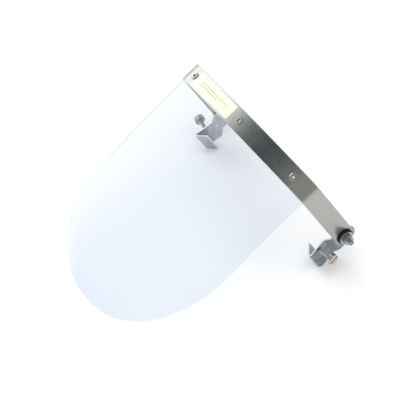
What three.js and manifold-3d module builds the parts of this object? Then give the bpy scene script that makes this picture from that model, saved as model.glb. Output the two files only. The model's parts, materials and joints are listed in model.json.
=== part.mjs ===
// Helmet-mounted face shield: a bent clear sheet riveted inside a steel band, with a swivelling
// rim clamp and its thumb screw at each end of the band.
//
// Units are millimetres. Each piece is built in the WORN frame: x forward, y to the wearer's
// left, z up, origin on the band's middle line at its front centre. One outer group then turns
// the object into its stored pose: it lies on a table, convex side up, on the chin edge of the
// sheet and on both clamps.
import * as THREE from 'three';
import { mergeVertices } from 'three/addons/utils/BufferGeometryUtils.js';
import Module from 'manifold-3d';

const wasm = await Module();
wasm.setup();

// ---- driving dimensions -------------------------------------------------------------------
const GAP = 0.3; // air kept between two faces that touch on the real object
const BAND_HEIGHT = 21;
const BAND_THICKNESS = 1.2;
const FRONT_RADIUS = 370; // the band's shallow front arc
const FRONT_ARC = 88; // half length of that arc, along the band
const CORNER_RADIUS = 23; // the bend from the front into each leg
const LEG_LENGTH = 82; // straight leg, up to the pivot

const SHEET_THICKNESS = 1.0;
const SHEET_TOP = 8.5; // top edge above the band's middle line
const SHEET_DROP = 227; // chin edge below the band's middle line
const SHEET_HALF_WIDTH = 110.8; // along the bend
const SHEET_STRAIGHT = 89; // the side edges are straight down to here
const SHEET_ROUNDNESS = 2.09; // exponent of the rounded lower outline, 2 is an ellipse
const CHIN_TUCK = 38.5; // how far the chin edge curls back towards the face
const TUCK_START = 12; // the sheet is parallel to the band down to here

const RIVET_ARC = 84.5; // side rivets, measured along the band from the middle one
const RIVET_HOLE_RADIUS = 2.6;
const EYELET = { shank: 2.3, bore: 1.3, head: 4.0, headHeight: 0.9, flare: 3.5 };
const RIVET_WASHER = { radius: 4.4, thickness: 0.7 };

const LABEL_START = -80; // along the band, between the right and the middle rivet
const LABEL_END = -13;
const LABEL_HEIGHT = 16.5;
const LABEL_THICKNESS = 0.4;

const BOLT_RADIUS = 3;
const BOLT_HOLE_RADIUS = BOLT_RADIUS + GAP;
const BOLT_HEAD = { radius: 5.8, height: 2.6 };
const BOLT_END = 12.6; // outer end of the bolt, from the band's middle plane
const FRICTION_WASHER = { radius: 8.6, thickness: 1.6 };
const FLAT_WASHER = { radius: 7.4, thickness: 1.2 };
const NUT = { acrossFlats: 10, height: 4.4 };
const SLOT = { width: 1.2, depth: 1.4 };

const PLATE = 1.6; // thickness of the clamp's sheet steel
const EAR_RADIUS = 12.5; // rounded top of the clamp, around the bolt
const CLAMP_BACK = 2; // the clamp's middle sits this far behind the bolt
const JOGGLE_TOP = -12; // heights on the clamp, below the bolt
const JOGGLE_BOTTOM = -18;
const JOGGLE = 4.5; // step in towards the helmet
const FOLD = -39; // bottom fold of the jaw
const JAW_FLARE = 3.5; // the outer plate leans out by this much down to the fold
const LIP_RUN = 13; // inner lip: inwards from the fold
const LIP_RISE = 9; // and upwards
const JAW_CORNER = 8; // rounded rear corner of the jaw plate
const JAW_REACH = 3; // the jaw goes this much further back than the ear
const TOOTH = { pitch: 5, depth: 2 };

const SCREW = { radius: 2, head: 5.5, headLength: 5, neck: 3.1, neckLength: 1.5, fromFront: 6.5 };
const SCREW_HEIGHT = -27; // where the screw crosses the outer plate
const SCREW_OUT = 19; // outer end of the head, from the plate's outer face
const SCREW_IN = 1.6; // the point stands this far inside the plate

const REST_TILT = 25.54; // degrees between the band's plane and the vertical, lying on the table

// ---- solids: joining and cutting -----------------------------------------------------------
function toSolid(geometry) {
  const bare = geometry.clone();
  bare.deleteAttribute('normal');
  bare.deleteAttribute('uv');
  const merged = mergeVertices(bare, 1e-4);
  return new wasm.Manifold(new wasm.Mesh({
    numProp: 3,
    vertProperties: new Float32Array(merged.attributes.position.array),
    triVerts: new Uint32Array(merged.index.array),
  }));
}

function toGeometry(solid) {
  const { vertProperties, triVerts } = solid.getMesh();
  const geometry = new THREE.BufferGeometry();
  geometry.setAttribute('position', new THREE.BufferAttribute(vertProperties, 3));
  geometry.setIndex(new THREE.BufferAttribute(triVerts, 1));
  geometry.computeVertexNormals();
  return geometry;
}

const cut = (body, tools) => tools.reduce((rest, tool) => rest.subtract(tool), body);

// ---- the band's plan: front arc, corner arc, straight leg ------------------------------------
const FRONT_ANGLE = FRONT_ARC / FRONT_RADIUS;
const CORNER_ARC = CORNER_RADIUS * (Math.PI / 2 - FRONT_ANGLE);
const PIVOT_ARC = FRONT_ARC + CORNER_ARC + LEG_LENGTH;

// The point at a signed arc length along the band's middle plane, moved outwards by `offset`,
// and the outward normal there. Positive arcs run to the wearer's left.
function onBand(arc, offset = 0) {
  const run = Math.abs(arc);
  const side = arc < 0 ? -1 : 1;
  const front = Math.min(run, FRONT_ARC) / FRONT_RADIUS;
  const bend = Math.min(Math.max(run - FRONT_ARC, 0), CORNER_ARC) / CORNER_RADIUS;
  const leg = Math.max(run - FRONT_ARC - CORNER_ARC, 0);
  const heading = front + bend;
  const back = FRONT_RADIUS * (1 - Math.cos(front))
    + CORNER_RADIUS * (Math.cos(front) - Math.cos(heading)) + leg;
  const out = FRONT_RADIUS * Math.sin(front) + CORNER_RADIUS * (Math.sin(heading) - Math.sin(front));
  const normal = new THREE.Vector3(Math.cos(heading), side * Math.sin(heading), 0);
  const point = new THREE.Vector3(-back, side * out, 0).addScaledVector(normal, offset);
  return { point, normal };
}

const PIVOT = onBand(PIVOT_ARC).point;

// Arc lengths from `from` to `to`, close together in the corners and wide apart elsewhere.
function arcStations(from, to, step = 5.6) {
  const count = Math.ceil((to - from) / step);
  return Array.from({ length: count + 1 }, (_, i) => from + ((to - from) * i) / count);
}

// A strip that follows the band between two arc lengths, `inner` to `outer` from its middle
// plane and `height` tall, centred on the band's middle line.
function bandStrip(from, to, inner, outer, height) {
  const arcs = arcStations(from, to);
  const rim = [
    ...arcs.map((arc) => onBand(arc, outer).point),
    ...arcs.reverse().map((arc) => onBand(arc, inner).point),
  ];
  const shape = new THREE.Shape(rim.map((p) => new THREE.Vector2(p.x, p.y)));
  const geometry = new THREE.ExtrudeGeometry(shape, { depth: height, bevelEnabled: false });
  return geometry.translate(0, 0, -height / 2);
}

// A round tool or disc lying along the band's normal at `arc`, from offset `low` to `high`.
function discOnBand(arc, radius, low, high, segments = 24) {
  const { point, normal } = onBand(arc);
  const disc = new THREE.CylinderGeometry(radius, radius, high - low, segments);
  disc.translate(0, (low + high) / 2, 0);
  disc.applyQuaternion(new THREE.Quaternion().setFromUnitVectors(new THREE.Vector3(0, 1, 0), normal));
  return disc.translate(point.x, point.y, point.z);
}

// ---- fixed pieces ------------------------------------------------------------------------------
const RIVETS = { right_rivet: -RIVET_ARC, centre_rivet: 0, left_rivet: RIVET_ARC };
const SHEET_OUTER = -(BAND_THICKNESS / 2 + GAP);
const SHEET_INNER = SHEET_OUTER - SHEET_THICKNESS;

// The band: a straight strip bent to a U, each end rounded about its pivot hole.
function makeBand() {
  const half = BAND_THICKNESS / 2;
  const length = PIVOT_ARC + BAND_HEIGHT / 2;
  let band = toSolid(bandStrip(-length, length, -half, half, BAND_HEIGHT));
  for (const side of [-1, 1]) {
    const corner = new THREE.BoxGeometry(BAND_HEIGHT / 2, 8, BAND_HEIGHT + 2);
    corner.translate(PIVOT.x - BAND_HEIGHT / 4 - 0.01, side * PIVOT.y, 0);
    const roundEnd = discOnBand(side * PIVOT_ARC, BAND_HEIGHT / 2, -6, 6, 40);
    band = band.subtract(toSolid(corner).subtract(toSolid(roundEnd)));
    band = band.subtract(toSolid(discOnBand(side * PIVOT_ARC, BOLT_HOLE_RADIUS, -4, 4)));
  }
  const holes = Object.values(RIVETS).map((arc) => toSolid(discOnBand(arc, RIVET_HOLE_RADIUS, -4, 4)));
  return toGeometry(cut(band, holes));
}

// Half width of the sheet at a depth below the band's middle line.
function sheetHalfWidth(depth) {
  const lower = Math.max(depth - SHEET_STRAIGHT, 0) / (SHEET_DROP - SHEET_STRAIGHT);
  return SHEET_HALF_WIDTH * (1 - lower ** SHEET_ROUNDNESS) ** (1 / SHEET_ROUNDNESS);
}

// The sheet: rows from the top edge to the chin edge, each following the band's plan and
// curling back towards the chin.
function makeSheet() {
  const straightRows = 9;
  const roundRows = 16;
  const columns = 44;
  const lastTurn = 0.955; // stops just short of the point where the outline closes
  const depths = [];
  for (let i = 0; i < straightRows; i += 1) {
    depths.push(-SHEET_TOP + ((SHEET_STRAIGHT + SHEET_TOP) * i) / straightRows);
  }
  for (let i = 0; i <= roundRows; i += 1) {
    const turn = (lastTurn * i) / roundRows;
    depths.push(SHEET_STRAIGHT + (SHEET_DROP - SHEET_STRAIGHT) * Math.sin((turn * Math.PI) / 2));
  }
  const positions = [];
  for (const offset of [SHEET_OUTER, SHEET_INNER]) {
    for (const depth of depths) {
      const below = Math.max(depth - TUCK_START, 0) / (SHEET_DROP - TUCK_START);
      for (let j = 0; j <= columns; j += 1) {
        const { point } = onBand(sheetHalfWidth(depth) * ((2 * j) / columns - 1), offset);
        positions.push(point.x - CHIN_TUCK * below ** 2, point.y, -depth);
      }
    }
  }
  const rows = depths.length;
  const at = (layer, i, j) => (layer * rows + i) * (columns + 1) + j;
  const triangles = [];
  const quad = (a, b, c, d) => triangles.push(a, b, c, a, c, d);
  for (let i = 0; i < rows - 1; i += 1) {
    for (let j = 0; j < columns; j += 1) {
      quad(at(0, i, j), at(0, i + 1, j), at(0, i + 1, j + 1), at(0, i, j + 1));
      quad(at(1, i, j), at(1, i, j + 1), at(1, i + 1, j + 1), at(1, i + 1, j));
    }
    quad(at(0, i, 0), at(1, i, 0), at(1, i + 1, 0), at(0, i + 1, 0));
    quad(at(0, i, columns), at(0, i + 1, columns), at(1, i + 1, columns), at(1, i, columns));
  }
  for (let j = 0; j < columns; j += 1) {
    quad(at(0, 0, j), at(0, 0, j + 1), at(1, 0, j + 1), at(1, 0, j));
    quad(at(0, rows - 1, j), at(1, rows - 1, j), at(1, rows - 1, j + 1), at(0, rows - 1, j + 1));
  }
  const geometry = new THREE.BufferGeometry();
  geometry.setAttribute('position', new THREE.Float32BufferAttribute(positions, 3));
  geometry.setIndex(triangles);
  const holes = Object.values(RIVETS).map((arc) => toSolid(discOnBand(arc, RIVET_HOLE_RADIUS, -6, 4)));
  return toGeometry(cut(toSolid(geometry), holes));
}

// A tubular rivet, as a turned ring: head outside the band, flare inside the sheet. Offsets are
// measured outwards from the band's middle plane.
function makeEyelet(arc) {
  const headBase = BAND_THICKNESS / 2 + GAP;
  const flareBase = SHEET_INNER - 2 * GAP - RIVET_WASHER.thickness;
  const flareEnd = flareBase - 0.7;
  const profile = [
    [EYELET.bore, flareEnd], [EYELET.flare, flareEnd], [EYELET.flare, flareBase],
    [EYELET.shank, flareBase], [EYELET.shank, headBase], [EYELET.head, headBase],
    [EYELET.head - 0.4, headBase + EYELET.headHeight * 0.8],
    [EYELET.bore + 1, headBase + EYELET.headHeight], [EYELET.bore, headBase + EYELET.headHeight * 0.5],
    [EYELET.bore, flareEnd],
  ];
  return turned(profile, onBand(arc), 28);
}

// A closed profile of [radius, height] turned about a normal.
function turned(profile, { point, normal }, segments) {
  const lathe = new THREE.LatheGeometry(profile.map(([r, h]) => new THREE.Vector2(r, h)), segments);
  lathe.applyQuaternion(new THREE.Quaternion().setFromUnitVectors(new THREE.Vector3(0, 1, 0), normal));
  lathe.translate(point.x, point.y, point.z);
  return toGeometry(toSolid(lathe));
}

function ring(inner, outer, low, high, place, segments = 36) {
  const profile = [[inner, low], [outer, low], [outer, high], [inner, high], [inner, low]];
  return turned(profile, place, segments);
}

// ---- the pivot stack, from the inside of the band outwards --------------------------------------
const EAR_FACE = BAND_THICKNESS / 2 + GAP; // distance from the band's middle plane to the clamp
const FRICTION_BASE = BAND_THICKNESS / 2 + GAP;
const FLAT_BASE = FRICTION_BASE + FRICTION_WASHER.thickness + GAP;
const NUT_BASE = FLAT_BASE + FLAT_WASHER.thickness + GAP;

function makeBolt(side) {
  const headBase = -(EAR_FACE + PLATE + GAP);
  const chamfer = 0.7;
  const profile = [
    [0, headBase - BOLT_HEAD.height], [BOLT_HEAD.radius - 1.6, headBase - BOLT_HEAD.height],
    [BOLT_HEAD.radius, headBase - 1], [BOLT_HEAD.radius, headBase], [BOLT_RADIUS, headBase],
    [BOLT_RADIUS, BOLT_END - chamfer], [BOLT_RADIUS - chamfer, BOLT_END], [0, BOLT_END],
  ];
  const place = onBand(side * PIVOT_ARC);
  const slot = new THREE.BoxGeometry(SLOT.width, 2 * SLOT.depth, 4 * BOLT_RADIUS);
  slot.rotateY(0.6).translate(PIVOT.x, side * (PIVOT.y + BOLT_END), 0);
  return toGeometry(toSolid(turned(profile, place, 32)).subtract(toSolid(slot)));
}

function makeNut(side) {
  const nut = new THREE.CylinderGeometry(NUT.acrossFlats / Math.sqrt(3), NUT.acrossFlats / Math.sqrt(3),
    NUT.height, 6);
  nut.translate(PIVOT.x, side * (PIVOT.y + NUT_BASE + NUT.height / 2), 0);
  return toGeometry(toSolid(nut).subtract(toSolid(discOnBand(side * PIVOT_ARC, BOLT_HOLE_RADIUS, 0, 20, 32))));
}

// ---- the rim clamp -------------------------------------------------------------------------------
// Side view of the bent plate as [inwards from the band's middle plane, height above the bolt].
const EAR_MIDDLE = EAR_FACE + PLATE / 2;
const CLAMP_LINE = [
  [EAR_MIDDLE, EAR_RADIUS], [EAR_MIDDLE, JOGGLE_TOP],
  [EAR_MIDDLE + JOGGLE, JOGGLE_BOTTOM],
  [EAR_MIDDLE + JOGGLE - JAW_FLARE, FOLD],
  [EAR_MIDDLE + JOGGLE - JAW_FLARE + LIP_RUN, FOLD + LIP_RISE],
];

// The outline of a plate of even thickness about a bent line, mitred at the bends.
function thickened(line, thickness) {
  const points = line.map(([a, b]) => new THREE.Vector2(a, b));
  const normals = points.slice(1).map((p, i) => {
    const along = p.clone().sub(points[i]).normalize();
    return new THREE.Vector2(-along.y, along.x);
  });
  const mitre = points.map((_, i) => {
    const before = normals[Math.max(i - 1, 0)];
    const after = normals[Math.min(i, normals.length - 1)];
    const middle = before.clone().add(after).normalize();
    return middle.multiplyScalar(thickness / 2 / middle.dot(after));
  });
  return [
    ...points.map((p, i) => p.clone().add(mitre[i])),
    ...points.map((p, i) => p.clone().sub(mitre[i])).reverse(),
  ];
}

// The clamp seen from the side, as [forward, up]: a round ear that widens into a jaw whose rear
// corner is rounded.
function clampOutline() {
  const front = EAR_RADIUS - CLAMP_BACK;
  const rear = -(EAR_RADIUS + CLAMP_BACK);
  const jawRear = rear - JAW_REACH;
  const low = FOLD - PLATE;
  const shape = new THREE.Shape();
  shape.moveTo(front, 0);
  shape.absarc(-CLAMP_BACK, 0, EAR_RADIUS, 0, Math.PI, false);
  shape.lineTo(rear, JOGGLE_TOP);
  shape.lineTo(jawRear, JOGGLE_BOTTOM);
  shape.lineTo(jawRear, low + JAW_CORNER);
  shape.absarc(jawRear + JAW_CORNER, low + JAW_CORNER, JAW_CORNER, Math.PI, 1.5 * Math.PI, false);
  shape.lineTo(front, low);
  return shape;
}

// The outer plate's slope, and the screw's axis square to it.
const JAW_SLOPE = Math.atan2(JAW_FLARE, JOGGLE_BOTTOM - FOLD);
const SCREW_X = EAR_RADIUS - CLAMP_BACK - SCREW.fromFront;

function screwPlace(side) {
  const along = (JOGGLE_BOTTOM - SCREW_HEIGHT) / (JOGGLE_BOTTOM - FOLD);
  const inwards = EAR_MIDDLE + JOGGLE - JAW_FLARE * along;
  return {
    point: new THREE.Vector3(PIVOT.x + SCREW_X, side * (PIVOT.y - inwards), SCREW_HEIGHT),
    normal: new THREE.Vector3(0, side * Math.cos(JAW_SLOPE), Math.sin(JAW_SLOPE)),
  };
}

function makeClamp(side) {
  const width = 4 * EAR_RADIUS;
  const section = new THREE.ExtrudeGeometry(new THREE.Shape(thickened(CLAMP_LINE, PLATE)),
    { depth: width, bevelEnabled: false });
  // Section axes: x is inwards, y is up, z runs along the plate.
  const turn = new THREE.Matrix4().makeBasis(
    new THREE.Vector3(0, -1, 0), new THREE.Vector3(0, 0, 1), new THREE.Vector3(-1, 0, 0));
  section.applyMatrix4(turn).translate(width / 2, 0, 0);
  const outline = new THREE.ExtrudeGeometry(clampOutline(), { depth: 60, bevelEnabled: false, curveSegments: 20 });
  outline.rotateX(Math.PI / 2).translate(0, 30, 0);
  let clamp = toSolid(section).intersect(toSolid(outline));

  const lipTop = FOLD + LIP_RISE;
  const lipEdge = EAR_MIDDLE + JOGGLE - JAW_FLARE + LIP_RUN;
  const teeth = Math.floor((2 * EAR_RADIUS) / TOOTH.pitch);
  for (let i = 0; i < teeth; i += 1) {
    const notch = new THREE.BoxGeometry(TOOTH.depth, 12, TOOTH.depth);
    notch.rotateY(Math.PI / 4).translate(
      EAR_RADIUS - CLAMP_BACK - TOOTH.pitch * (i + 0.5), -lipEdge, lipTop + PLATE * 0.6);
    clamp = clamp.subtract(toSolid(notch));
  }
  const geometry = toGeometry(clamp);
  if (side < 0) geometry.applyMatrix4(new THREE.Matrix4().makeScale(1, -1, 1));
  if (side < 0) geometry.index.array.reverse();
  geometry.translate(PIVOT.x, side * PIVOT.y, 0);

  const boltHole = toSolid(discOnBand(side * PIVOT_ARC, BOLT_HOLE_RADIUS, -8, 4));
  const screw = screwPlace(side);
  const screwHole = new THREE.CylinderGeometry(SCREW.radius + GAP, SCREW.radius + GAP, 6, 24);
  screwHole.applyQuaternion(
    new THREE.Quaternion().setFromUnitVectors(new THREE.Vector3(0, 1, 0), screw.normal));
  screwHole.translate(screw.point.x, screw.point.y, screw.point.z);
  return toGeometry(cut(toSolid(geometry), [boltHole, toSolid(screwHole)]));
}

function makeThumbScrew(side) {
  const outer = PLATE / 2 + SCREW_OUT;
  const inner = -(PLATE / 2 + SCREW_IN);
  const headBase = outer - SCREW.headLength;
  const profile = [
    [0, inner], [SCREW.radius - 0.5, inner], [SCREW.radius, inner + 0.6],
    [SCREW.radius, headBase - SCREW.neckLength], [SCREW.neck, headBase - SCREW.neckLength],
    [SCREW.neck, headBase], [SCREW.head - 0.4, headBase], [SCREW.head, headBase + 0.4],
    [SCREW.head, outer - 0.5], [SCREW.head - 0.5, outer], [0, outer],
  ];
  const place = screwPlace(side);
  const body = turned(profile, place, 32);
  const slot = new THREE.BoxGeometry(SLOT.width, 2 * SLOT.depth, 4 * SCREW.head);
  slot.translate(0, outer, 0);
  slot.applyQuaternion(
    new THREE.Quaternion().setFromUnitVectors(new THREE.Vector3(0, 1, 0), place.normal));
  slot.translate(place.point.x, place.point.y, place.point.z);
  return toGeometry(toSolid(body).subtract(toSolid(slot)));
}

// ---- the assembly -----------------------------------------------------------------------------
const FINISH = {
  stainless: { color: 0xb4b6b2, roughness: 0.35, metalness: 1 },
  zinc: { color: 0x9aa6ae, roughness: 0.4, metalness: 1 },
  nickel: { color: 0xc2b8a6, roughness: 0.3, metalness: 1 },
  black: { color: 0x141414, roughness: 0.7, metalness: 0 },
  clear: { color: 0xe8f0f8, roughness: 0.05, metalness: 0, transparent: true, opacity: 0.35 },
  label: { color: 0xf4eec0, roughness: 0.5, metalness: 0 },
};

const worn = new THREE.Group();

function add(name, geometry, finish) {
  const mesh = new THREE.Mesh(geometry, new THREE.MeshStandardMaterial(FINISH[finish]));
  mesh.name = name;
  worn.add(mesh);
}

add('head_band', makeBand(), 'stainless');
add('visor_sheet', makeSheet(), 'clear');
const labelBase = BAND_THICKNESS / 2 + GAP;
add('front_label', toGeometry(toSolid(
  bandStrip(LABEL_START, LABEL_END, labelBase, labelBase + LABEL_THICKNESS, LABEL_HEIGHT))), 'label');

for (const [name, arc] of Object.entries(RIVETS)) {
  add(name, makeEyelet(arc), 'stainless');
  const washerTop = SHEET_INNER - GAP;
  add(`${name}_washer`, ring(RIVET_HOLE_RADIUS, RIVET_WASHER.radius,
    washerTop - RIVET_WASHER.thickness, washerTop, onBand(arc)), 'stainless');
}

for (const [name, side] of [['left', 1], ['right', -1]]) {
  const place = onBand(side * PIVOT_ARC);
  add(`${name}_pivot_bolt`, makeBolt(side), 'zinc');
  add(`${name}_friction_washer`, ring(BOLT_HOLE_RADIUS, FRICTION_WASHER.radius,
    FRICTION_BASE, FRICTION_BASE + FRICTION_WASHER.thickness, place), 'black');
  add(`${name}_flat_washer`, ring(BOLT_HOLE_RADIUS, FLAT_WASHER.radius,
    FLAT_BASE, FLAT_BASE + FLAT_WASHER.thickness, place), 'zinc');
  add(`${name}_pivot_nut`, makeNut(side), 'zinc');
  add(`${name}_clamp`, makeClamp(side), 'zinc');
  add(`${name}_thumb_screw`, makeThumbScrew(side), 'nickel');
}

// Stored pose: turned about y, then stood on the table with its box centred over the origin.
worn.rotation.y = THREE.MathUtils.degToRad(REST_TILT - 90);
const shield = new THREE.Group();
shield.add(worn);
shield.updateMatrixWorld(true);
const box = new THREE.Box3().setFromObject(worn, true);
const centre = box.getCenter(new THREE.Vector3());
shield.position.set(-centre.x, -centre.y, -box.min.z);

export default shield;
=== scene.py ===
"""Looks of a helmet-mounted face shield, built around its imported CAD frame.

Every piece is shaped in millimetres in the WORN frame: x forward, y to the wearer's left, z up,
origin on the band's middle line at its front centre. WORN_TO_ROW then lays it down in the row
frame, in metres, where the CAD nodes are.
"""

import json
import math

import bmesh
import bpy
import numpy as np
from mathutils import Matrix, Vector
from mathutils.geometry import delaunay_2d_cdt


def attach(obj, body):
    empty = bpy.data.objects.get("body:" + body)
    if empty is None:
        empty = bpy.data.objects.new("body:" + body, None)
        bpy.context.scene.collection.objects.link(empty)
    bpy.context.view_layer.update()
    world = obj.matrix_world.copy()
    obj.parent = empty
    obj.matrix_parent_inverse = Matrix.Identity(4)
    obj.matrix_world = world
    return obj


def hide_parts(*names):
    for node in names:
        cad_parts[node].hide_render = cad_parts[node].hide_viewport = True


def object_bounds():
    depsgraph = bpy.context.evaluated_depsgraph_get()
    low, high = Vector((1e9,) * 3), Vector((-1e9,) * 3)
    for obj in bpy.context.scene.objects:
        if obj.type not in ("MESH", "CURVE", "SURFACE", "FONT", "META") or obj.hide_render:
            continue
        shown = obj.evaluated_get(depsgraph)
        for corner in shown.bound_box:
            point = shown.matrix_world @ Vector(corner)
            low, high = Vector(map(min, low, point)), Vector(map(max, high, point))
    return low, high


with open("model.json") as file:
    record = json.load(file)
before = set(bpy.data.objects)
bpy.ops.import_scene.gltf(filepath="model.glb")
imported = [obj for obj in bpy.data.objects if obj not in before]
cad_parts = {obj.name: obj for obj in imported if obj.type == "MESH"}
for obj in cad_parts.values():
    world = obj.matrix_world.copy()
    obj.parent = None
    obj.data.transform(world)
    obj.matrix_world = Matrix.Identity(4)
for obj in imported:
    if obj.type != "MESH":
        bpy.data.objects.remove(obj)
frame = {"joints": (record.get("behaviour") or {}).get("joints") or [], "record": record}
cad_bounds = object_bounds()
record = frame["record"]

# ---- driving dimensions, in millimetres --------------------------------------------------------
MM = 0.001
CONTACT = 0.02  # air left between fixed pieces that touch on the real object
GAP = 0.3  # air that the CAD model keeps between its pieces
BAND_HEIGHT = 21
BAND_THICKNESS = 1.2
FRONT_RADIUS = 370  # the band's shallow front arc
FRONT_ARC = 88  # half length of that arc
CORNER_RADIUS = 23
LEG_LENGTH = 82

SHEET_THICKNESS = 1.0
SHEET_TOP = 8.5
SHEET_DROP = 227
SHEET_HALF_WIDTH = 110.8
SHEET_STRAIGHT = 89
SHEET_ROUNDNESS = 2.09
SHEET_LOWEST = 226.65  # the chin edge is cut level here
CHIN_TUCK = 38.5
TUCK_START = 12

RIVET_ARC = 84.5
RIVET_HOLE_RADIUS = 2.6
EYELET_BORE, EYELET_SHANK, EYELET_FLARE, EYELET_HEAD = 1.3, 2.3, 3.5, 4.0
EYELET_HEAD_HEIGHT, EYELET_BRIM, EYELET_DISH = 1.15, 0.35, 0.3
EYELET_CROWN_OUT, EYELET_CROWN_IN = 2.9, 1.9  # radii between which the head is highest
EYELET_FLARE_HEIGHT, EYELET_ROUNDING = 0.9, 0.45
RIVET_WASHER_RADIUS, RIVET_WASHER_THICKNESS = 4.4, 0.7

LABEL_START, LABEL_END, LABEL_HEIGHT, LABEL_THICKNESS, LABEL_CORNER = -80, -13, 16.5, 0.16, 1.2
# Grey bars on the label: from and to along the band, then across it.
LABEL_BARS = [(-70, -24, 0.9, 2.1), (-70, -38, -2.3, -1.1)]

BOLT_RADIUS, BOLT_END, BOLT_PITCH = 3, 12.6, 1.0
BOLT_HEAD_RADIUS, BOLT_HEAD_HEIGHT = 5.8, 2.6
FRICTION_RADIUS, FRICTION_THICKNESS = 8.6, 1.6
FLAT_RADIUS, FLAT_THICKNESS = 7.4, 1.2
NUT_ACROSS_FLATS, NUT_HEIGHT, NUT_CHAMFER = 10, 4.4, 0.97
NUT_ROWS = (0, 0.12, 0.24, 0.36, 0.48, 0.6, 0.8)  # heights where the chamfer's curve is sampled
SLOT_WIDTH, SLOT_DEPTH = 1.2, 1.4
BOLT_CHAMFER, BOLT_HEAD_ROUNDING, BOLT_THREAD = 0.6, 1.3, 0.5
BOLT_SLOT_TURN = 0.6  # in radians

PLATE = 1.6
EAR_RADIUS = 12.5
CLAMP_BACK = 2
JOGGLE_TOP, JOGGLE_BOTTOM, JOGGLE = -12, -18, 4.5
FOLD, JAW_FLARE = -39, 3.5
LIP_RUN, LIP_RISE = 13, 9
FOLD_ROUNDING = 1.2  # the visible fold is rounded, so its corner is set lower by this much
JAW_CORNER, JAW_REACH = 8, 3
CORNER_START = 0.6  # the visible corner starts this much higher, so that it clears the table
TOOTH_PITCH, TOOTH_REACH = 5, 1.45
BEND_RADIUS, FOLD_RADIUS = 2.4, 1.3

SCREW_RADIUS, SCREW_HEAD, SCREW_HEAD_LENGTH = 2, 5.5, 5
SCREW_NECK, SCREW_NECK_LENGTH, SCREW_PITCH = 3.1, 1.5, 0.8
SCREW_FROM_FRONT, SCREW_HEIGHT, SCREW_OUT, SCREW_IN = 6.5, -27, 19, 1.6
SCREW_ROUNDING, SCREW_THREAD = 0.45, 0.38
SCREW_SLOT_TURN = -6  # in degrees

REST_TILT = 25.54  # degrees between the band's plane and the vertical, lying on the table

# How finely the pieces are meshed: distance between an outline's points, then triangle size.
BAND_STEP, BAND_TRIANGLE = 1.6, 1.7
SHEET_STEP, SHEET_TRIANGLE = 3, 3.0
CLAMP_STEP, CLAMP_TRIANGLE = 0.6, 0.62
PLATE_EDGE, SHEET_EDGE, LABEL_EDGE = 0.22, 0.25, 0.05  # how far a plate's edges are rounded

FRONT_ANGLE = FRONT_ARC / FRONT_RADIUS
CORNER_ARC = CORNER_RADIUS * (math.pi / 2 - FRONT_ANGLE)
PIVOT_ARC = FRONT_ARC + CORNER_ARC + LEG_LENGTH
SHEET_OUTER = -(BAND_THICKNESS / 2 + GAP)
SHEET_INNER = SHEET_OUTER - SHEET_THICKNESS
RIVETS = {"right_rivet": -RIVET_ARC, "centre_rivet": 0, "left_rivet": RIVET_ARC}
SIDES = {"left": 1, "right": -1}


# ---- the band's plan ------------------------------------------------------------------------------
def on_band(arc, offset=0.0):
    """The point `arc` along the band, `offset` outwards of its middle plane, and the outward normal."""
    run = abs(arc)
    side = -1 if arc < 0 else 1
    front = min(run, FRONT_ARC) / FRONT_RADIUS
    bend = min(max(run - FRONT_ARC, 0), CORNER_ARC) / CORNER_RADIUS
    leg = max(run - FRONT_ARC - CORNER_ARC, 0)
    heading = front + bend
    corner = CORNER_RADIUS * (math.cos(front) - math.cos(heading))
    back = FRONT_RADIUS * (1 - math.cos(front)) + corner + leg
    spread = CORNER_RADIUS * (math.sin(heading) - math.sin(front))
    out = FRONT_RADIUS * math.sin(front) + spread
    normal = Vector((math.cos(heading), side * math.sin(heading), 0))
    return Vector((-back, side * out, 0)) + offset * normal, normal


PIVOT = on_band(PIVOT_ARC)[0]


def worn_to_row():
    """Lays the worn frame down so that its left pivot falls on the left swivel joint."""
    swivel = next(joint for joint in frame["joints"] if joint["name"] == "left_swivel")
    turn = Matrix.Rotation(math.radians(REST_TILT - 90), 4, "Y")
    return Matrix.Translation(swivel["pos_m"]) @ turn @ Matrix.Scale(MM, 4) @ Matrix.Translation(-PIVOT)


WORN_TO_ROW = worn_to_row()


# ---- flat outlines ---------------------------------------------------------------------------------
def spaced(start, end, step):
    """Values from start to end, both included, about step apart."""
    count = max(1, math.ceil(abs(end - start) / step))
    return [start + (end - start) * i / count for i in range(count + 1)]


def circle(u, v, radius, count, start=0.0, sweep=math.tau):
    """Points round a circle, or along a part of one, without the last."""
    angles = [start + sweep * i / count for i in range(count)]
    return [(u + radius * math.cos(a), v + radius * math.sin(a)) for a in angles]


def hole(u, v, radius, count=40):
    return circle(u, v, radius, count, 0, -math.tau)


def filleted(corners, radius, closed=False, count=8):
    """A line through corners with each corner rounded to radius, or to what its sides allow."""
    points = [Vector(c) for c in corners]
    total = len(points)
    made = []
    for i, corner in enumerate(points):
        if not closed and i in (0, total - 1):
            made.append(corner)
            continue
        to_last = points[i - 1] - corner
        to_next = points[(i + 1) % total] - corner
        turn = math.pi - to_last.angle(to_next)
        limit = 0.49 * min(to_last.length, to_next.length)
        reach = min(radius(i) * math.tan(turn / 2), limit)
        if reach < 1e-6:
            made.append(corner)
            continue
        start = corner + to_last.normalized() * reach
        end = corner + to_next.normalized() * reach
        bow = reach / math.tan(turn / 2)
        inwards = (to_last.normalized() + to_next.normalized()).normalized()
        centre = corner + inwards * math.hypot(reach, bow)
        for k in range(count + 1):
            share = math.sin(turn * k / count)
            rest = math.sin(turn * (1 - k / count))
            spoke = ((start - centre) * rest + (end - centre) * share) / math.sin(turn)
            made.append(centre + spoke)
    return made


def even(radius):
    """The same radius at every corner."""
    return lambda corner: radius


def resampled(loop, step):
    """A closed loop with points added so that none are further than step apart."""
    made = []
    for i, point in enumerate(loop):
        last, following = Vector(point), Vector(loop[(i + 1) % len(loop)])
        count = max(1, math.ceil((following - last).length / step))
        made += [tuple(last.lerp(following, k / count)) for k in range(count)]
    return made


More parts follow.
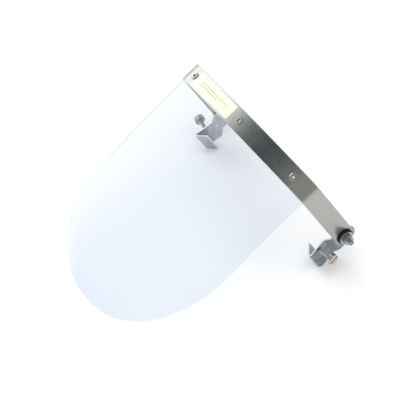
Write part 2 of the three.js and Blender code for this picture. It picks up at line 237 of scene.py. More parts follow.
def anticlockwise(loop):
    area = sum(a[0] * b[1] - b[0] * a[1] for a, b in zip(loop, loop[1:] + loop[:1]))
    return loop if area > 0 else loop[::-1]


def inset(loop, distance):
    """The loop moved into the material, which lies to the left of its direction."""
    points = np.array(loop, float)
    ahead = np.roll(points, -1, 0) - points
    ahead /= np.linalg.norm(ahead, axis=1)[:, None]
    behind = np.roll(ahead, 1, 0)
    normal = np.stack([-(ahead + behind)[:, 1], (ahead + behind)[:, 0]], 1)
    normal /= np.linalg.norm(normal, axis=1)[:, None]
    return points + normal * distance


def inside(points, loops):
    """Which points lie inside the loops, by counting how many edges a ray crosses."""
    within = np.zeros(len(points), bool)
    for loop in loops:
        for (u0, v0), (u1, v1) in zip(loop, np.roll(loop, -1, 0)):
            if v0 == v1:
                continue
            crossed = (v0 > points[:, 1]) != (v1 > points[:, 1])
            within ^= crossed & (points[:, 0] < (u1 - u0) * (points[:, 1] - v0) / (v1 - v0) + u0)
    return within


def fill(loops, step):
    """Points and triangles that fill the first loop round the others, and each loop's indices."""
    border = np.concatenate(loops)
    low, high = border.min(0), border.max(0)
    axes = [np.arange(low[k] + step / 2, high[k], step) for k in (0, 1)]
    grid = np.stack(np.meshgrid(*axes), -1).reshape(-1, 2)
    grid = grid[inside(grid, loops)]
    nearest = np.array([np.min(np.sum((border - p) ** 2, 1)) for p in grid])
    grid = grid[nearest > (0.6 * step) ** 2]
    edges, first = [], 0
    for loop in loops:
        edges += [(first + i, first + (i + 1) % len(loop)) for i in range(len(loop))]
        first += len(loop)
    source = [Vector(p) for p in np.concatenate([border, grid])]
    points, _, triangles, origins, _, _ = delaunay_2d_cdt(source, edges, [], 0, 1e-5)
    middles = np.array([sum((points[i] for i in t), Vector((0, 0))) / 3 for t in triangles])
    triangles = [t for t, kept in zip(triangles, inside(middles, loops)) if kept]
    place_of = {source_id: i for i, ids in enumerate(origins) for source_id in ids}
    rims, first = [], 0
    for loop in loops:
        rims.append([place_of[first + i] for i in range(len(loop))])
        first += len(loop)
    return points, triangles, rims


# ---- meshes ------------------------------------------------------------------------------------------
class Builder:
    """A bmesh whose vertices remember their flat or turned coordinates, for the materials."""

    def __init__(self):
        self.mesh = bmesh.new()
        self.flat = self.mesh.verts.layers.float_vector.new("flat")
        self.rim = self.mesh.verts.layers.float.new("rim")

    def vertex(self, point, flat, rim=0.0):
        made = self.mesh.verts.new(point)
        made[self.flat] = flat
        made[self.rim] = rim
        return made

    def face(self, corners):
        kept = [c for i, c in enumerate(corners) if c is not corners[i - 1]]
        if len(kept) > 2:
            self.mesh.faces.new(kept)

    def stitch(self, ring, following):
        for k in range(max(len(ring), len(following))):
            a, b = ring[k % len(ring)], ring[(k + 1) % len(ring)]
            c, d = following[(k + 1) % len(following)], following[k % len(following)]
            self.face([a, b, c, d])


def plate(outline, holes, place, half, edge, step):
    """A bent plate: place(u, v, w) lays flat points down, w off the middle, and rims are rounded."""
    build = Builder()
    loops = [np.array(loop, float) for loop in (outline, *holes)]
    points, triangles, rims = fill([inset(loop, edge) for loop in loops], step)
    faces = []
    for w in (half, -half):
        faces.append([build.vertex(place(u, v, w), (u, v, w)) for u, v in points])
        for triangle in triangles:
            build.face([faces[-1][i] for i in triangle])
    turns = [math.pi / 6 * k for k in range(1, 4)]
    section = [(1 - math.sin(t), half - edge * (1 - math.cos(t))) for t in turns]
    section += [(s, -w) for s, w in reversed(section)]
    for loop, rim in zip(loops, rims):
        rings = [[faces[0][i] for i in rim]]
        for share, w in section:
            ring = inset(loop, edge * share)
            rings.append([build.vertex(place(u, v, w), (u, v, w), 1.0) for u, v in ring])
        rings.append([faces[1][i] for i in rim])
        for ring, following in zip(rings, rings[1:]):
            build.stitch(ring, following)
    return build.mesh


def axes_at(normal):
    """Two directions square to a normal, the first as near to upwards as it can be."""
    up = (Vector((0, 0, 1)) - normal * normal.z).normalized()
    return up, normal.cross(up)


def turned(profile, place, closed=False, segments=72, shape=None):
    """A profile of (radius, height) turned about place's normal. shape may change each radius."""
    build = Builder()
    point, normal = place
    up, across = axes_at(normal)
    rings = []
    for radius, height in profile:
        if radius < 1e-6:
            rings.append([build.vertex(point + normal * height, (0, 0, height))])
            continue
        ring = []
        for k in range(segments):
            angle = math.tau * k / segments
            reach = shape(radius, height, angle) if shape else radius
            u, v = reach * math.cos(angle), reach * math.sin(angle)
            ring.append(build.vertex(point + up * u + across * v + normal * height, (u, v, height)))
        rings.append(ring)
    for ring, following in zip(rings, rings[1:]):
        build.stitch(ring, following)
    if closed:
        build.stitch(rings[-1], rings[0])
    return build.mesh


def soft_profile(corners, radius):
    """A closed profile with every corner rounded."""
    return [tuple(p) for p in filleted(corners, even(radius), closed=True, count=4)]


def finished(node, mesh, material, crease=38):
    """The piece that stands for a CAD node: it takes the node's body from the record."""
    bmesh.ops.transform(mesh, matrix=WORN_TO_ROW, verts=mesh.verts)
    bmesh.ops.remove_doubles(mesh, verts=mesh.verts, dist=1e-7)
    bmesh.ops.recalc_face_normals(mesh, faces=mesh.faces)
    for face in mesh.faces:
        face.smooth = True
    for edge in mesh.edges:
        edge.smooth = edge.is_manifold and edge.calc_face_angle(0) < math.radians(crease)
    data = bpy.data.meshes.new(f"{node}_visual")
    mesh.to_mesh(data)
    mesh.free()
    piece = bpy.data.objects.new(f"{node}_visual", data)
    bpy.context.scene.collection.objects.link(piece)
    data.materials.append(material)
    weighted = piece.modifiers.new("weighted_normals", "WEIGHTED_NORMAL")
    weighted.keep_sharp = True
    bodies = record["behaviour"]["bodies"]
    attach(piece, next(body for body, nodes in bodies.items() if node in nodes))
    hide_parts(node)
    return piece


def slotted(piece, place, height, turn, length):
    """Cuts a screwdriver slot into the end of a turned piece."""
    point, normal = place
    up, across = axes_at(normal)
    spin = Matrix.Rotation(turn, 3, normal)
    up, across = spin @ up, spin @ across
    frame_matrix = Matrix((up, across, normal)).transposed().to_4x4()
    frame_matrix.translation = point + normal * height
    size = Matrix.Diagonal((length, SLOT_WIDTH, 2 * SLOT_DEPTH, 1))
    cutter_mesh = bmesh.new()
    bmesh.ops.create_cube(cutter_mesh, size=1, matrix=WORN_TO_ROW @ frame_matrix @ size)
    data = bpy.data.meshes.new("slot_cutter")
    cutter_mesh.to_mesh(data)
    cutter_mesh.free()
    cutter = bpy.data.objects.new("slot_cutter", data)
    bpy.context.scene.collection.objects.link(cutter)
    cut = piece.modifiers.new("slot", "BOOLEAN")
    cut.object = cutter
    cut.solver = "EXACT"
    piece.modifiers.move(len(piece.modifiers) - 1, 0)
    with bpy.context.temp_override(object=piece, active_object=piece):
        bpy.ops.object.modifier_apply(modifier="slot")
    bpy.data.objects.remove(cutter)


# ---- materials ---------------------------------------------------------------------------------------
class Recipe:
    """A new material and short calls to fill its node tree."""

    def __init__(self, name):
        self.material = bpy.data.materials.new(name)
        self.material.use_nodes = True
        self.tree = self.material.node_tree
        self.tree.nodes.clear()

    def node(self, kind, inputs=None, **settings):
        made = self.tree.nodes.new(kind)
        for key, value in settings.items():
            setattr(made, key, value)
        for key, value in (inputs or {}).items():
            if isinstance(value, bpy.types.NodeSocket):
                self.tree.links.new(value, made.inputs[key])
            else:
                made.inputs[key].default_value = value
        return made

    def flat(self, scale):
        """The piece's own coordinates, in millimetres, times scale on each axis."""
        source = self.node("ShaderNodeAttribute", attribute_name="flat").outputs["Vector"]
        return self.node("ShaderNodeVectorMath", {0: source, 1: scale}, operation="MULTIPLY").outputs[0]

    def rim(self):
        return self.node("ShaderNodeAttribute", attribute_name="rim").outputs["Fac"]

    def noise(self, vector, scale=1.0, detail=4.0, roughness=0.6):
        inputs = {"Vector": vector, "Scale": scale, "Detail": detail, "Roughness": roughness}
        return self.node("ShaderNodeTexNoise", inputs).outputs["Fac"]

    def spread(self, value, low, high, start=0.3, end=0.7):
        inputs = {"Value": value, "From Min": start, "From Max": end, "To Min": low, "To Max": high}
        return self.node("ShaderNodeMapRange", inputs).outputs["Result"]

    def math(self, operation, a, b=0.0):
        return self.node("ShaderNodeMath", {0: a, 1: b}, operation=operation).outputs[0]

    def mix(self, share, low, high):
        made = self.node("ShaderNodeMix", data_type="RGBA")
        for index, value in ((0, share), (6, low), (7, high)):
            if isinstance(value, bpy.types.NodeSocket):
                self.tree.links.new(value, made.inputs[index])
            else:
                made.inputs[index].default_value = value
        return made.outputs[2]

    def bump(self, height, depth, strength):
        inputs = {"Height": height, "Distance": depth * MM, "Strength": strength}
        return self.node("ShaderNodeBump", inputs).outputs["Normal"]

    def principled(self, **inputs):
        named = {key.replace("_", " "): value for key, value in inputs.items()}
        return self.node("ShaderNodeBsdfPrincipled", named).outputs[0]

    def output(self, shader):
        self.node("ShaderNodeOutputMaterial", {"Surface": shader})
        return self.material


def brushed_stainless():
    """Fine brush lines along the strip, a little grime and a painted highlight along its edges."""
    r = Recipe("brushed_stainless")
    lines = r.noise(r.flat((0.03, 7.0, 2.0)), detail=5, roughness=0.7)
    long_lines = r.noise(r.flat((0.012, 1.8, 1.0)), detail=3)
    cloud = r.noise(r.flat((0.05, 0.09, 0.05)), detail=3)
    tone = r.math("ADD", r.spread(lines, 0, 0.55), r.spread(long_lines, 0, 0.45))
    steel = r.mix(tone, (0.36, 0.362, 0.345, 1), (0.46, 0.46, 0.44, 1))
    # painted highlight: the band's rounded edges are painted pale
    colour = r.mix(r.math("MULTIPLY", r.rim(), 0.7), steel, (0.78, 0.78, 0.77, 1))
    rough = r.math("ADD", r.spread(lines, 0.20, 0.28), r.spread(cloud, -0.01, 0.02))
    normal = r.bump(lines, 0.012, 0.5)
    return r.output(r.principled(
        Base_Color=colour, Metallic=1.0, Roughness=rough, Normal=normal))


def turned_stainless():
    """The rivets and their washers: plain turned metal with fine specks."""
    r = Recipe("turned_stainless")
    speck = r.noise(r.flat((2.2, 2.2, 2.2)), detail=3)
    colour = r.mix(speck, (0.36, 0.365, 0.365, 1), (0.54, 0.545, 0.54, 1))
    return r.output(r.principled(
        Base_Color=colour, Metallic=1.0, Roughness=r.spread(speck, 0.14, 0.26),
        Normal=r.bump(speck, 0.02, 0.4)))


def zinc_plate(name, dark, bright):
    """Bright zinc over rolled steel: bluish clouds, fine rolling lines and a painted highlight along the
    cut edges.
    """
    r = Recipe(name)
    cloud = r.noise(r.flat((0.16, 0.16, 0.16)), detail=5, roughness=0.65)
    grain = r.noise(r.flat((2.4, 1.1, 2.4)), detail=3)
    plate_colour = r.mix(r.spread(cloud, 0, 1), dark, bright)
    fleck = r.mix(r.spread(grain, 0, 0.3), plate_colour, (0.42, 0.46, 0.48, 1))
    # painted highlight: the rounded cut edges are painted near white, and made less metallic below
    colour = r.mix(r.math("MULTIPLY", r.rim(), 0.85), fleck, (0.86, 0.87, 0.87, 1))
    rough = r.math("ADD", r.spread(cloud, 0.27, 0.4), r.spread(grain, -0.03, 0.03))
    metal = r.spread(r.rim(), 1.0, 0.35, 0, 1)
    return r.output(r.principled(
        Base_Color=colour, Metallic=metal, Roughness=rough, Normal=r.bump(grain, 0.02, 0.45)))


def turned_metal(name, dark, bright, roughness, ring_scale):
    """A turned and plated fastener: rings round its axis and small specks."""
    r = Recipe(name)
    axis = r.flat((1.0, 1.0, 0.0))
    radius = r.node("ShaderNodeVectorMath", {0: axis}, operation="LENGTH").outputs["Value"]
    height = r.node("ShaderNodeSeparateXYZ", {0: r.flat((1.0, 1.0, 1.0))}).outputs["Z"]
    line = r.math("MULTIPLY", r.math("ADD", radius, height), ring_scale)
    rings = r.node("ShaderNodeTexNoise", {"W": line, "Scale": 1.0, "Detail": 3.0},
                   noise_dimensions="1D").outputs["Fac"]
    speck = r.noise(r.flat((1.1, 1.1, 1.1)), detail=4)
    colour = r.mix(r.math("ADD", r.spread(rings, 0, 0.6), r.spread(speck, 0, 0.4)), dark, bright)
    rough = r.spread(speck, roughness - 0.05, roughness + 0.07)
    return r.output(r.principled(
        Base_Color=colour, Metallic=1.0, Roughness=rough, Normal=r.bump(rings, 0.015, 0.4)))


def black_fibre():
    """Pressed fibre: nearly black, matt, with a short felted grain."""
    r = Recipe("black_fibre")
    felt = r.noise(r.flat((1.8, 1.8, 3.5)), detail=6, roughness=0.75)
    colour = r.mix(felt, (0.002, 0.002, 0.003, 1), (0.010, 0.011, 0.012, 1))
    return r.output(r.principled(
        Base_Color=colour, Roughness=r.spread(felt, 0.55, 0.8), Normal=r.bump(felt, 0.08, 0.7)))


def clear_sheet():
    """Clear plastic: see-through, glossy at a slant, faint haze and hair scratches, pale rim."""
    r = Recipe("clear_sheet")
    haze = r.noise(r.flat((0.012, 0.018, 0.012)), detail=4)
    scratch = r.noise(r.flat((0.9, 0.05, 0.9)), detail=2)
    facing = r.node("ShaderNodeLayerWeight", {"Blend": 0.5}).outputs["Facing"]
    fresnel = r.math("ADD", r.math("MULTIPLY", r.math("POWER", facing, 5.0), 0.85), 0.035)
    body = r.math("ADD", r.spread(haze, 0.0, 0.02), r.spread(scratch, 0.0, 0.012, 0.66, 0.8))
    share = r.math("ADD", r.math("ADD", fresnel, body), r.math("MULTIPLY", r.rim(), 0.3))
    through = r.node("ShaderNodeBsdfTransparent", {"Color": (0.925, 0.94, 0.962, 1)}).outputs[0]
    gloss = r.principled(Base_Color=(0.78, 0.83, 0.9, 1), Roughness=r.spread(haze, 0.04, 0.1))
    mixed = r.node("ShaderNodeMixShader", {0: share, 1: through, 2: gloss}).outputs[0]
    return r.output(mixed)


def blank_label():
    """Pale yellow film with faint mottling and plain grey lines where print would be."""
    r = Recipe("blank_label")
    mottle = r.noise(r.flat((0.25, 0.25, 0.25)), detail=5)
    paper = r.mix(r.spread(mottle, 0, 1), (0.93, 0.87, 0.56, 1), (0.97, 0.93, 0.66, 1))
    place = r.node("ShaderNodeSeparateXYZ", {0: r.flat((1.0, 1.0, 1.0))}).outputs
    ink = None
    for left, right, low, high in LABEL_BARS:
        edges = [
            r.math("GREATER_THAN", place["X"], left), r.math("LESS_THAN", place["X"], right),
            r.math("GREATER_THAN", place["Y"], low), r.math("LESS_THAN", place["Y"], high)]
        bar = r.math("MULTIPLY", r.math("MULTIPLY", edges[0], edges[1]),
                     r.math("MULTIPLY", edges[2], edges[3]))
        ink = r.math("ADD", ink, bar) if ink else bar
    colour = r.mix(r.math("MULTIPLY", ink, 0.75), paper, (0.30, 0.26, 0.18, 1))
    return r.output(r.principled(
        Base_Color=colour, Roughness=0.38, Normal=r.bump(mottle, 0.02, 0.3)))


def paper_floor():
    r = Recipe("paper_floor")
    fibre = r.noise(r.node("ShaderNodeTexCoord").outputs["Object"], 220.0, 3)
    colour = r.mix(fibre, (0.90, 0.90, 0.905, 1), (0.93, 0.93, 0.93, 1))
    return r.output(r.principled(Base_Color=colour, Roughness=0.9, Specular_IOR_Level=0.1))


# ---- fixed pieces --------------------------------------------------------------------------------------
def band_loops():
    """A long strip with half-round ends, its rivet holes and its pivot holes."""
    half = BAND_HEIGHT / 2
    lower = [(s, -half) for s in spaced(-PIVOT_ARC, PIVOT_ARC, BAND_STEP)[:-1]]
    right_end = circle(PIVOT_ARC, 0, half, 28, -math.pi / 2, math.pi)
    upper = [(s, half) for s in spaced(PIVOT_ARC, -PIVOT_ARC, BAND_STEP)[:-1]]
    left_end = circle(-PIVOT_ARC, 0, half, 28, math.pi / 2, math.pi)
    holes = [hole(arc, 0, RIVET_HOLE_RADIUS, 32) for arc in RIVETS.values()]
    holes += [hole(side * PIVOT_ARC, 0, BOLT_RADIUS + GAP) for side in SIDES.values()]
    return lower + right_end + upper + left_end, holes


def place_on_band(middle):
    def place(u, v, w):
        return on_band(u, middle + w)[0] + Vector((0, 0, v))
    return place


def make_band(material):
    outline, holes = band_loops()
    half = BAND_THICKNESS / 2
    mesh = plate(outline, holes, place_on_band(0), half, PLATE_EDGE, BAND_TRIANGLE)
    finished("head_band", mesh, material)


def sheet_outline():
    """Level top edge, straight sides, and a lower outline that rounds to the chin."""
    top = [(s, SHEET_TOP) for s in spaced(SHEET_HALF_WIDTH, -SHEET_HALF_WIDTH, SHEET_STEP)[:-1]]
    left = [(-SHEET_HALF_WIDTH, v) for v in spaced(SHEET_TOP, -SHEET_STRAIGHT, SHEET_STEP)[:-1]]
    power = 2 / SHEET_ROUNDNESS
    curve = []
    for turn in spaced(0, math.pi / 2, math.radians(1.2)):
        width = SHEET_HALF_WIDTH * max(math.cos(turn), 0) ** power
        depth = SHEET_STRAIGHT + (SHEET_DROP - SHEET_STRAIGHT) * math.sin(turn) ** power
        curve.append((width, -min(depth, SHEET_LOWEST)))
    lower = [(-s, v) for s, v in curve[:-1]] + curve[::-1]
    right = [(SHEET_HALF_WIDTH, v) for v in spaced(-SHEET_STRAIGHT, SHEET_TOP, SHEET_STEP)[1:-1]]
    return anticlockwise(top + left + lower + right)


def place_on_sheet(u, v, w):
    below = max(-v - TUCK_START, 0) / (SHEET_DROP - TUCK_START)
    middle = (SHEET_OUTER + SHEET_INNER) / 2
    return on_band(u, middle + w)[0] + Vector((-CHIN_TUCK * below**2, 0, v))


def make_sheet(material):
    holes = [hole(arc, 0, RIVET_HOLE_RADIUS, 32) for arc in RIVETS.values()]
    half = SHEET_THICKNESS / 2
    mesh = plate(sheet_outline(), holes, place_on_sheet, half, SHEET_EDGE, SHEET_TRIANGLE)
    finished("visor_sheet", mesh, material)


def make_label(material):
    half = LABEL_HEIGHT / 2
    box = [(LABEL_START, -half), (LABEL_END, -half), (LABEL_END, half), (LABEL_START, half)]
    corners = filleted(box, even(LABEL_CORNER), closed=True)
    outline = resampled([tuple(p) for p in corners], BAND_STEP)
    middle = BAND_THICKNESS / 2 + CONTACT + LABEL_THICKNESS / 2
    thick = LABEL_THICKNESS / 2
    mesh = plate(outline, [], place_on_band(middle), thick, LABEL_EDGE, BAND_TRIANGLE)
    finished("front_label", mesh, material)


def make_rivet(name, arc, material):
    """A tubular rivet: a rolled head outside the band and a flare inside the washer."""
    head_base = BAND_THICKNESS / 2 + CONTACT
    head_top = head_base + EYELET_HEAD_HEIGHT
    flare_base = SHEET_INNER - 2 * CONTACT - RIVET_WASHER_THICKNESS
    flare_end = flare_base - EYELET_FLARE_HEIGHT
    corners = [
        (EYELET_BORE, flare_end), (EYELET_FLARE, flare_end), (EYELET_FLARE, flare_base),
        (EYELET_SHANK, flare_base), (EYELET_SHANK, head_base), (EYELET_HEAD, head_base),
        (EYELET_HEAD, head_base + EYELET_BRIM), (EYELET_CROWN_OUT, head_top),
        (EYELET_CROWN_IN, head_top), (EYELET_BORE, head_base + EYELET_DISH)]
    profile = soft_profile(corners, EYELET_ROUNDING)
    finished(name, turned(profile, on_band(arc), closed=True), material)
    washer = washer_profile(RIVET_HOLE_RADIUS, RIVET_WASHER_RADIUS,
                            flare_base + CONTACT, SHEET_INNER - CONTACT, 0.15)
    finished(f"{name}_washer", turned(washer, on_band(arc), closed=True), material)


def washer_profile(bore, radius, low, high, edge):
    corners = [(bore, low), (radius, low), (radius, high), (bore, high)]
    return soft_profile(corners, edge)


# ---- the pivot stack -----------------------------------------------------------------------------------
EAR_FACE = BAND_THICKNESS / 2 + GAP
FRICTION_TOP = EAR_FACE + FRICTION_THICKNESS
FLAT_TOP = FRICTION_TOP + GAP + FLAT_THICKNESS
NUT_BASE = FLAT_TOP + CONTACT
NUT_TOP = FLAT_TOP + GAP + NUT_HEIGHT


def threaded(radius, low, high, pitch, depth):
    """A radius function that cuts a thread between two heights."""
    def shape(reach, height, angle):
        if abs(reach - radius) > 1e-4 or not low < height < high:
            return reach
        phase = (height / pitch - angle / math.tau) % 1
        fade = min(1, (height - low) / pitch, (high - height) / pitch)
        return reach - depth * fade * (0.5 + 0.5 * math.cos(math.tau * phase))
    return shape


def make_bolt(name, side, metal):
    """Pan head inside the band, threaded shank, slotted end outside the nut."""
    head_base = -(EAR_FACE + PLATE + CONTACT)
    head_end = -(EAR_FACE + PLATE + GAP + BOLT_HEAD_HEIGHT)
    place = on_band(side * PIVOT_ARC)
    head = filleted([(0, head_end), (BOLT_HEAD_RADIUS, head_end), (BOLT_HEAD_RADIUS, head_base),
                     (BOLT_RADIUS, head_base)], even(BOLT_HEAD_ROUNDING), count=8)
    shoulder = BOLT_END - BOLT_CHAMFER
    shank = [(BOLT_RADIUS, h) for h in spaced(head_base, shoulder, BOLT_PITCH / 8)[1:]]
    end = [(BOLT_RADIUS - BOLT_CHAMFER, BOLT_END), (0, BOLT_END)]
    profile = [tuple(p) for p in head] + shank + end
    thread = threaded(BOLT_RADIUS, EAR_FACE, shoulder + 0.01, BOLT_PITCH, BOLT_THREAD)
    piece = finished(name, turned(profile, place, shape=thread), metal, crease=50)
    slotted(piece, place, BOLT_END, BOLT_SLOT_TURN, 4 * BOLT_RADIUS)


def make_nut(name, side, metal):
    """A hexagon whose corners are cut back by a cone at both ends."""
    rows = [NUT_BASE + d for d in NUT_ROWS]
    rows += [NUT_TOP - d for d in reversed(NUT_ROWS)]
    apothem = NUT_ACROSS_FLATS / 2
    corner = apothem / math.cos(math.pi / 6)
    bore = BOLT_RADIUS + 0.05

    def hexagon(radius, height, angle):
        if radius < corner:
            return radius
        flat = apothem / math.cos((angle + math.pi / 6) % (math.pi / 3) - math.pi / 6)
        cone = apothem * NUT_CHAMFER + min(height - NUT_BASE, NUT_TOP - height) * math.tan(math.pi / 3)
        return min(flat, cone)

    outside = [(corner, h) for h in rows]
    profile = [(bore, NUT_BASE + 0.35), (bore + 0.35, NUT_BASE), *outside,
               (bore + 0.35, NUT_TOP), (bore, NUT_TOP - 0.35)]
    mesh = turned(profile, on_band(side * PIVOT_ARC), closed=True, segments=120, shape=hexagon)
    finished(name, mesh, metal, crease=25)


def make_stack(side_name, side, zinc_fastener, fibre):
    place = on_band(side * PIVOT_ARC)
    face = BAND_THICKNESS / 2 + CONTACT
    bore = BOLT_RADIUS + 0.1
    friction = washer_profile(bore, FRICTION_RADIUS, face, FRICTION_TOP, 0.35)
    finished(f"{side_name}_friction_washer", turned(friction, place, closed=True), fibre)
    flat = washer_profile(bore, FLAT_RADIUS, FRICTION_TOP + CONTACT, FLAT_TOP, 0.3)
    finished(f"{side_name}_flat_washer", turned(flat, place, closed=True), zinc_fastener)
    make_bolt(f"{side_name}_pivot_bolt", side, zinc_fastener)
    make_nut(f"{side_name}_pivot_nut", side, zinc_fastener)


# ---- the rim clamp --------------------------------------------------------------------------------------
# The clamp's section as [inwards from the band's middle plane, height above the bolt].
EAR_MIDDLE = EAR_FACE + PLATE / 2
JAW_TOP_IN = EAR_MIDDLE + JOGGLE
FOLD_IN = JAW_TOP_IN - JAW_FLARE
JAW_SLOPE = math.atan2(JAW_FLARE, JOGGLE_BOTTOM - FOLD)
SECTION = [
    (EAR_MIDDLE, EAR_RADIUS), (EAR_MIDDLE, JOGGLE_TOP), (JAW_TOP_IN, JOGGLE_BOTTOM),
    (FOLD_IN - FOLD_ROUNDING * math.tan(JAW_SLOPE), FOLD - FOLD_ROUNDING),
    (FOLD_IN + LIP_RUN, FOLD + LIP_RISE)]
FOLD_CORNER = 3  # the fold's place in that list


class Section:
    """The bent section as a line that can be walked by distance from the ear's top."""

    def __init__(self):
        line = filleted(SECTION, lambda i: FOLD_RADIUS if i == FOLD_CORNER else BEND_RADIUS, count=14)
        self.points = np.array([tuple(p) for p in line])
        steps = np.linalg.norm(np.diff(self.points, axis=0), axis=1)
        self.run = np.concatenate([[0], np.cumsum(steps)])
        self.length = self.run[-1]
        tangents = np.diff(self.points, axis=0) / steps[:, None]
        self.tangents = np.concatenate([tangents[:1], (tangents[:-1] + tangents[1:]) / 2, tangents[-1:]])

    def at(self, distance):
        """The point and the unit tangent at a distance along the section."""
        point = [np.interp(distance, self.run, self.points[:, k]) for k in (0, 1)]
        tangent = np.array([np.interp(distance, self.run, self.tangents[:, k]) for k in (0, 1)])
        return point, tangent / np.linalg.norm(tangent)

    def distance_at(self, height):
        """How far along the outer plate a height lies."""
        outer = self.points[:, 1] > FOLD - FOLD_ROUNDING
        outer &= self.run < self.length - LIP_RUN
        return float(np.interp(-height, -self.points[outer, 1], self.run[outer]))


def clamp_outline(section):
    """Round ear, straight sides, rounded rear corner at the fold, toothed lip edge."""
    front = EAR_RADIUS - CLAMP_BACK
    rear = -(EAR_RADIUS + CLAMP_BACK)
    low = FOLD - PLATE + JAW_CORNER + CORNER_START
    ear = circle(-CLAMP_BACK, EAR_RADIUS, EAR_RADIUS, 40, 0, -math.pi)
    rear_side = []
    for v in spaced(EAR_RADIUS, section.length, CLAMP_STEP):
        height = section.at(v)[0][1]
        reach = min(max((JOGGLE_TOP - height) / (JOGGLE_TOP - JOGGLE_BOTTOM), 0), 1) * JAW_REACH
        below = min(max(low - height, 0), JAW_CORNER)
        round_in = JAW_CORNER - math.sqrt(JAW_CORNER**2 - below**2)
        rear_side.append((rear - reach + round_in, v))
    teeth = []
    for i in reversed(range(int(2 * EAR_RADIUS // TOOTH_PITCH))):
        middle = front - TOOTH_PITCH * (i + 0.5)
        teeth += [(middle - TOOTH_REACH, section.length), (middle, section.length - TOOTH_REACH),
                  (middle + TOOTH_REACH, section.length)]
    teeth = [tooth for tooth in teeth if tooth[0] > rear_side[-1][0] + 0.3]
    front_side = [(front, v) for v in spaced(section.length, EAR_RADIUS, CLAMP_STEP)[:-1]]
    return anticlockwise(resampled(ear + rear_side + teeth + front_side, CLAMP_STEP))


SCREW_X = EAR_RADIUS - CLAMP_BACK - SCREW_FROM_FRONT


def screw_place(side):
    """Where the thumb screw crosses the outer plate, and the plate's outward normal."""
    share = (JOGGLE_BOTTOM - SCREW_HEIGHT) / (JOGGLE_BOTTOM - FOLD)
    inwards = JAW_TOP_IN - JAW_FLARE * share
    point = Vector((PIVOT.x + SCREW_X, side * (PIVOT.y - inwards), SCREW_HEIGHT))
    return point, Vector((0, side * math.cos(JAW_SLOPE), math.sin(JAW_SLOPE)))


def make_clamp(name, side, material):
    section = Section()

    def place(u, v, w):
        (inwards, height), (along_in, along_up) = section.at(v)
        inwards, height = inwards - w * along_up, height + w * along_in
        return Vector((PIVOT.x + u, side * (PIVOT.y - inwards), height))

    holes = [
        hole(0, EAR_RADIUS, BOLT_RADIUS + GAP),
        hole(SCREW_X, section.distance_at(SCREW_HEIGHT), SCREW_RADIUS + GAP, 28)]
    mesh = plate(clamp_outline(section), holes, place, PLATE / 2, PLATE_EDGE, CLAMP_TRIANGLE)
    finished(name, mesh, material)


def make_screw(name, side, material):
    """Slotted round head, a short neck and a threaded shank."""
    outer = PLATE / 2 + SCREW_OUT
    inner = -(PLATE / 2 + SCREW_IN)
    head_base = outer - SCREW_HEAD_LENGTH
    neck_base = head_base - SCREW_NECK_LENGTH
    shank = [(SCREW_RADIUS, h) for h in spaced(inner + 0.6, neck_base, SCREW_PITCH / 8)[:-1]]
    head = filleted([
        (SCREW_RADIUS, neck_base), (SCREW_NECK, neck_base), (SCREW_NECK, head_base),
        (SCREW_HEAD, head_base), (SCREW_HEAD, outer), (0, outer)], even(SCREW_ROUNDING), count=5)
    profile = [(0, inner), (SCREW_RADIUS - 0.5, inner), *shank, *[tuple(p) for p in head]]
    thread = threaded(SCREW_RADIUS, inner + 0.5, neck_base, SCREW_PITCH, SCREW_THREAD)
    place = screw_place(side)
    piece = finished(name, turned(profile, place, shape=thread), material, crease=50)
    slotted(piece, place, outer, math.radians(SCREW_SLOT_TURN) * side, 4 * SCREW_HEAD)


# ---- the room: floor, light and camera ------------------------------------------------------------------
FLOOR_REACH = 2.2  # half the floor's side, in metres
ROOM_COLOUR = (0.50, 0.50, 0.49, 1)
# Patches of the room as (direction, inner and outer half angle in degrees, colour).
ROOM_PATCHES = [
    ((0.13, -0.91, 0.40), 22, 33, (2.2, 2.25, 2.3, 1)),
    ((0.39, -0.40, 0.83), 5, 19, (0.01, 0.045, 0.05, 1)),
]
CAMERA_AZIMUTH, CAMERA_ELEVATION, CAMERA_ROLL = 59.10, 47.86, -3.59  # degrees
CAMERA_DISTANCE, CAMERA_LENS = 1.9847, 182.9
CAMERA_RIGHT, CAMERA_UP = 0.0112, -0.0057  # of the middle of the object's box, in metres


def make_floor():
    table = cad_bounds[0].z
    reach = FLOOR_REACH
    build = bmesh.new()
    corners = [(-reach, -reach), (reach, -reach), (reach, reach), (-reach, reach)]
    build.faces.new([build.verts.new((x, y, table)) for x, y in corners])
    data = bpy.data.meshes.new("floor")
    build.to_mesh(data)
    build.free()
    floor = bpy.data.objects.new("floor", data)
    bpy.context.scene.collection.objects.link(floor)
    data.materials.append(paper_floor())


def make_world():
    """An even pale studio with one darker opening overhead and a broad window beside it."""
    world = bpy.data.worlds.new("studio")
    bpy.context.scene.world = world
    world.use_nodes = True
    tree = world.node_tree
    tree.nodes.clear()
    direction = tree.nodes.new("ShaderNodeTexCoord").outputs["Generated"]
    colour = None
    for target, inner, outer, patch in ROOM_PATCHES:
        towards = tree.nodes.new("ShaderNodeVectorMath")
        towards.operation = "DOT_PRODUCT"
        tree.links.new(direction, towards.inputs[0])
        towards.inputs[1].default_value = Vector(target).normalized()
        share = tree.nodes.new("ShaderNodeMapRange")
        share.interpolation_type = "SMOOTHSTEP"
        share.inputs["From Min"].default_value = math.cos(math.radians(outer))
        share.inputs["From Max"].default_value = math.cos(math.radians(inner))
        tree.links.new(towards.outputs["Value"], share.inputs["Value"])
        mix = tree.nodes.new("ShaderNodeMix")
        mix.data_type = "RGBA"
        tree.links.new(share.outputs["Result"], mix.inputs[0])
        mix.inputs[6].default_value = ROOM_COLOUR
        if colour:
            tree.links.new(colour, mix.inputs[6])
        mix.inputs[7].default_value = patch
        colour = mix.outputs[2]
    background = tree.nodes.new("ShaderNodeBackground")
    tree.links.new(colour, background.inputs["Color"])
    output = tree.nodes.new("ShaderNodeOutputWorld")
    tree.links.new(background.outputs[0], output.inputs[0])


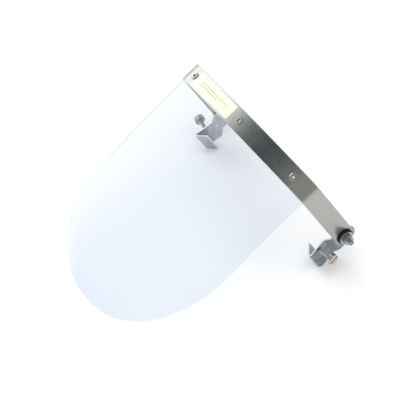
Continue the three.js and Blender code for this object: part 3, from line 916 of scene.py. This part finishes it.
def softbox(name, direction, distance, size, power):
    """A square area light aimed at the object, which leaves no reflection."""
    low, high = cad_bounds
    middle = (low + high) / 2
    light = bpy.data.lights.new(name, "AREA")
    light.shape = "SQUARE"
    light.size = size
    light.energy = power
    lamp = bpy.data.objects.new(name, light)
    bpy.context.scene.collection.objects.link(lamp)
    away = Vector(direction).normalized()
    lamp.location = middle + away * distance
    lamp.rotation_mode = "QUATERNION"
    lamp.rotation_quaternion = (-away).to_track_quat("-Z", "Y")
    lamp.visible_glossy = False


def make_camera():
    low, high = cad_bounds
    azimuth, elevation = math.radians(CAMERA_AZIMUTH), math.radians(CAMERA_ELEVATION)
    flat = math.cos(elevation)
    away = Vector((flat * math.cos(azimuth), flat * math.sin(azimuth), math.sin(elevation)))
    data = bpy.data.cameras.new("camera")
    data.lens = CAMERA_LENS
    data.sensor_width = 36
    camera = bpy.data.objects.new("camera", data)
    bpy.context.scene.collection.objects.link(camera)
    level = (-away).to_track_quat("-Z", "Y").to_matrix()
    turn = level @ Matrix.Rotation(math.radians(CAMERA_ROLL), 3, "Z")
    aside = turn @ Vector((CAMERA_RIGHT, CAMERA_UP, 0))
    camera.location = (low + high) / 2 + aside + away * CAMERA_DISTANCE
    camera.rotation_mode = "QUATERNION"
    camera.rotation_quaternion = turn.to_quaternion()
    bpy.context.scene.camera = camera


def main():
    make_camera()
    make_world()
    make_floor()
    softbox("overhead", (0.2, 0.1, 1.0), 1.6, 1.8, 25)

    stainless = brushed_stainless()
    bright = turned_stainless()
    # The clamps are one zinc plate: the right clamp's copy is painted paler and the left's darker, as
    # painted light and shade
    zinc = {
        "left": zinc_plate("zinc_plate", (0.12, 0.155, 0.18, 1), (0.35, 0.39, 0.41, 1)),
        "right": zinc_plate("zinc_plate_painted_paler", (0.24, 0.27, 0.29, 1), (0.56, 0.59, 0.61, 1)),
    }
    zinc_fastener = turned_metal(
        "zinc_fastener", (0.16, 0.19, 0.20, 1), (0.62, 0.65, 0.66, 1), 0.2, 1.2)
    nickel = turned_metal("nickel_screw", (0.40, 0.37, 0.33, 1), (0.70, 0.66, 0.61, 1), 0.26, 1.6)
    fibre = black_fibre()

    make_band(stainless)
    make_sheet(clear_sheet())
    make_label(blank_label())
    for name, arc in RIVETS.items():
        make_rivet(name, arc, bright)
    for side_name, side in SIDES.items():
        make_stack(side_name, side, zinc_fastener, fibre)
        make_clamp(f"{side_name}_clamp", side, zinc[side_name])
        make_screw(f"{side_name}_thumb_screw", side, nickel)
    bpy.context.scene.view_settings.view_transform = "Standard"


main()
